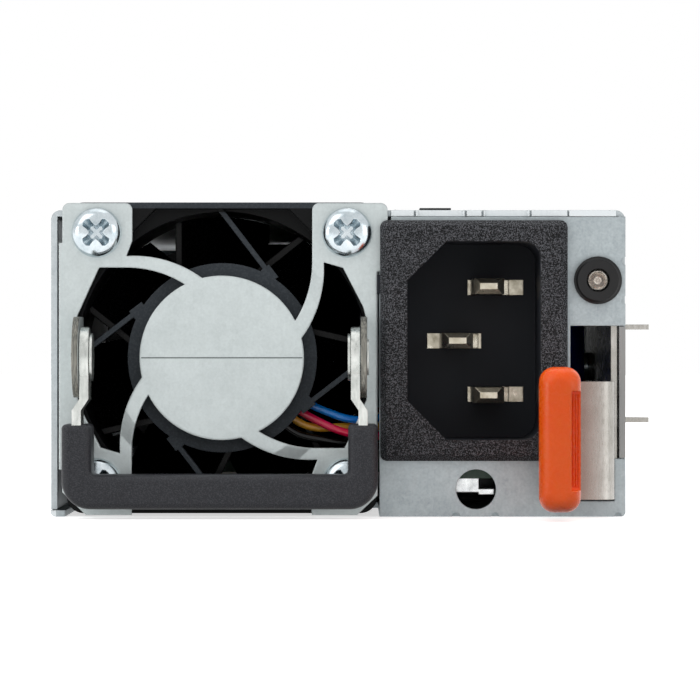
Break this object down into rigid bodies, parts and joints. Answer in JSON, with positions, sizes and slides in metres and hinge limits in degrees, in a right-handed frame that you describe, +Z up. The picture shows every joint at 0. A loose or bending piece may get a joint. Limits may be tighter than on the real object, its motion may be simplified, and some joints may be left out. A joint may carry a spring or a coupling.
{
  "type": "hot swap server power supply",
  "caption": "Slide-in power supply in a flat steel case with a guarded fan, swing handle, mains socket, spring latch and a rear card edge.",
  "frame": {"origin": "middle of the casing's bottom face", "axes": "+X right and +Z up as the front is seen, +Y into the unit towards the card edge"},
  "size_m": [0.0769, 0.213, 0.0402],
  "materials": {
    "bail_steel": "zinc plated strip",
    "capacitor_black": "shrink sleeve",
    "capacitor_blue": "shrink sleeve",
    "capacitor_grey": "moulded box",
    "chip_epoxy": "moulded epoxy",
    "circuit_board": "solder resist",
    "clear_epoxy": "clear moulded lens",
    "copper_winding": "enamelled wire",
    "fan_plastic": "moulded black",
    "ferrite": "dark sintered",
    "fuse_ceramic": "ceramic tube",
    "galvanised_steel": "zinc coated sheet",
    "gold_plate": "gold plated",
    "grip_plastic": "finely textured",
    "heatsink_aluminium": "extruded",
    "inlet_plastic": "textured bezel",
    "insulator_film": "thin film",
    "lead_black": "extruded sleeve",
    "lead_blue": "extruded sleeve",
    "lead_brown": "extruded sleeve",
    "lead_green": "extruded sleeve",
    "lead_red": "extruded sleeve",
    "lead_yellow": "extruded sleeve",
    "nickel_brass": "nickel plated",
    "nylon_white": "moulded",
    "orange_plastic": "smooth moulded",
    "polished_steel": "ground",
    "relay_plastic": "moulded box",
    "rotor_plastic": "smooth moulded black",
    "spring_steel": "satin strip",
    "tinned_wire": "tinned",
    "winding_tape": "wrapped tape",
    "zinc_screw": "bright zinc plate"
  },
  "bodies": {
    "casing": {"board_feet": "nickel_brass", "board_screws": "zinc_screw", "boost_choke": "copper_winding", "box_capacitor": "capacitor_grey", "bridge_rectifier": "chip_epoxy", "bulk_capacitor": "capacitor_black", "casing_base": "galvanised_steel", "casing_cover": "galvanised_steel", "control_card": "circuit_board", "control_chips": "chip_epoxy", "cover_screws": "zinc_screw", "earth_lead": "lead_green", "earth_lug": "zinc_screw", "earth_pin": "nickel_brass", "edge_contacts": "gold_plate", "fan_bearings": "polished_steel", "fan_driver_board": "circuit_board", "fan_frame": "fan_plastic", "fan_guard": "galvanised_steel", "fan_lead_black": "lead_black", "fan_lead_blue": "lead_blue", "fan_lead_red": "lead_red", "fan_lead_yellow": "lead_yellow", "fan_plug": "nylon_white", "fan_screws": "zinc_screw", "fan_socket": "nylon_white", "fan_stator": "copper_winding", "filter_capacitor": "capacitor_blue", "fuse": "fuse_ceramic", "handle_rivets": "zinc_screw", "inlet_socket": "inlet_plastic", "insulator_film": "insulator_film", "latch_foot": "spring_steel", "latch_rivets": "zinc_screw", "led_holder": "fan_plastic", "led_leads": "tinned_wire", "line_choke": "copper_winding", "line_lead": "lead_brown", "line_pin": "nickel_brass", "main_board": "circuit_board", "neutral_lead": "lead_blue", "neutral_pin": "nickel_brass", "output_capacitors": "capacitor_black", "output_choke": "ferrite", "output_heatsink": "heatsink_aluminium", "output_transistors": "chip_epoxy", "primary_heatsink": "heatsink_aluminium", "primary_transistors": "chip_epoxy", "rear_panel": "galvanised_steel", "relay": "relay_plastic", "status_led": "clear_epoxy", "transformer_core": "ferrite", "transformer_winding": "winding_tape"},
    "rotor": {"fan_rotor": "rotor_plastic", "fan_magnet": "ferrite", "fan_shaft": "polished_steel"},
    "handle": {"handle_bail": "bail_steel", "handle_grip": "grip_plastic"},
    "latch": {"latch_strip": "spring_steel", "latch_cap": "orange_plastic"}
  },
  "joints": [
    {"name": "fan_spin", "type": "hinge", "parent": "casing", "child": "rotor", "pos_m": [-0.01485, -0.0785, 0.0203], "axis": [0, 1, 0], "continuous": true},
    {"name": "handle_swing", "type": "hinge", "parent": "casing", "child": "handle", "pos_m": [-0.01485, -0.099, 0.0204], "axis": [-1, 0, 0], "range_deg": [0, 180]},
    {"name": "latch_press", "type": "hinge", "parent": "casing", "child": "latch", "pos_m": [0.03535, -0.0425, 0.012], "axis": [0, 0, -1], "range_deg": [0, 5], "stiffness_Nm_per_rad": 1.5}
  ]
}
